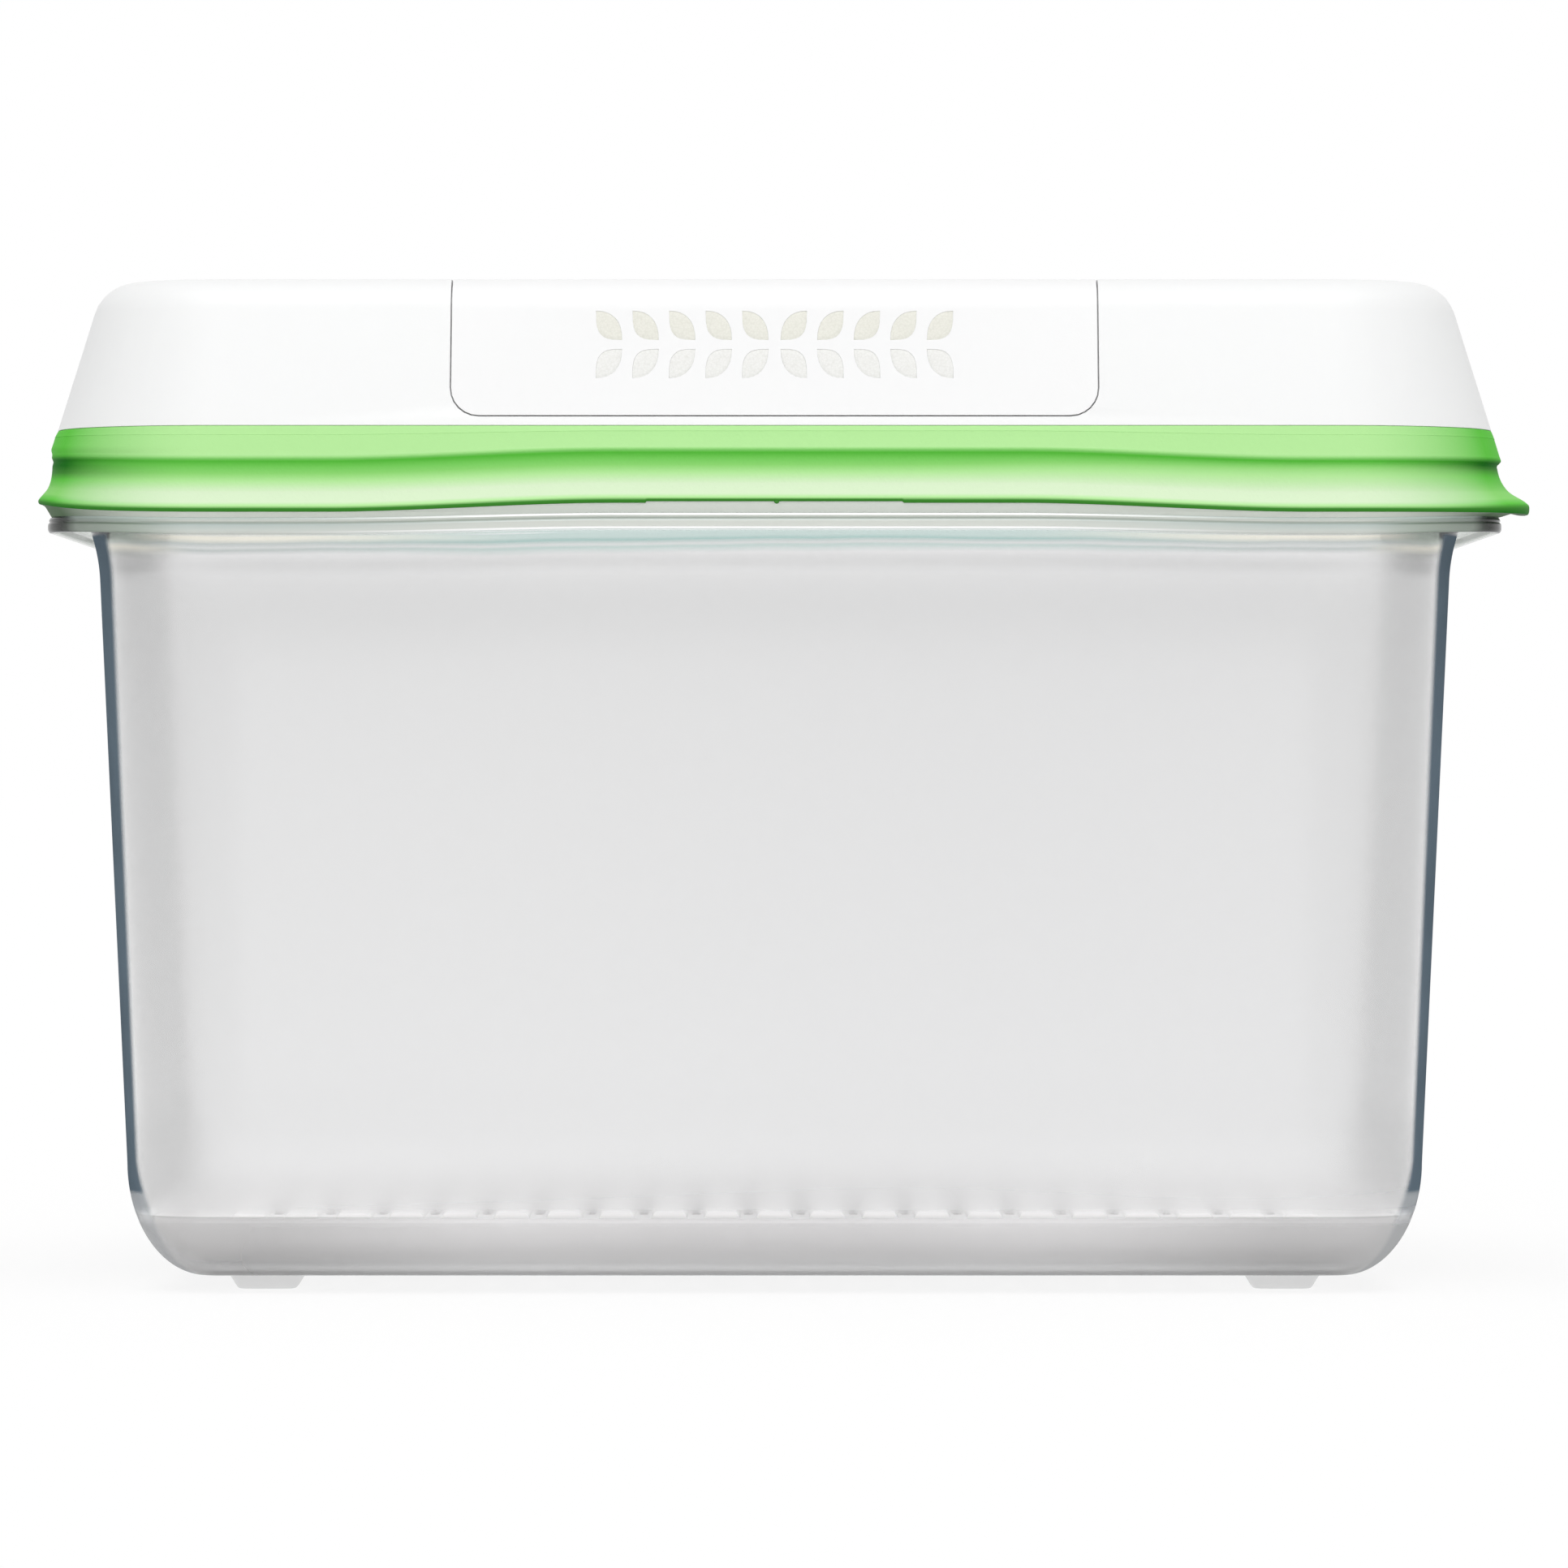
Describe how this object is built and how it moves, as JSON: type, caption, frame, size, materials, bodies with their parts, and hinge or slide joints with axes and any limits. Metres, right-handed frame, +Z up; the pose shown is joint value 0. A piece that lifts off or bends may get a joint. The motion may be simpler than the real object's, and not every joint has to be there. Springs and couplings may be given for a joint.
{
  "type": "produce keeper",
  "caption": "Translucent rectangular food storage tub with a ribbed crisping tray inside and a lift-off vented lid with a soft green brim.",
  "frame": {"origin": "middle of the footprint, on the surface that the four feet stand on", "axes": "+X along the length, towards the end with the lifting edge; -Y out of the front face; +Z up"},
  "size_m": [0.2757, 0.1838, 0.1857],
  "materials": {
    "clear_tub": "translucent, smooth",
    "frosted_tray": "frosted translucent",
    "white_shell": "satin white",
    "green_brim": "soft, matt, apple green",
    "white_cover": "satin white",
    "filter_sheet": "pale granular membrane"
  },
  "bodies": {
    "base": {"tub": "clear_tub", "crisp_tray": "frosted_tray"},
    "lid": {"lid_shell": "white_shell", "brim_seal": "green_brim", "vent_cover": "white_cover", "vent_filter_front": "filter_sheet", "vent_filter_back": "filter_sheet"}
  },
  "joints": [
    {"name": "lid_lift", "type": "slide", "parent": "base", "child": "lid", "axis": [0, 0, 1], "range_m": [0, 0.08]}
  ]
}
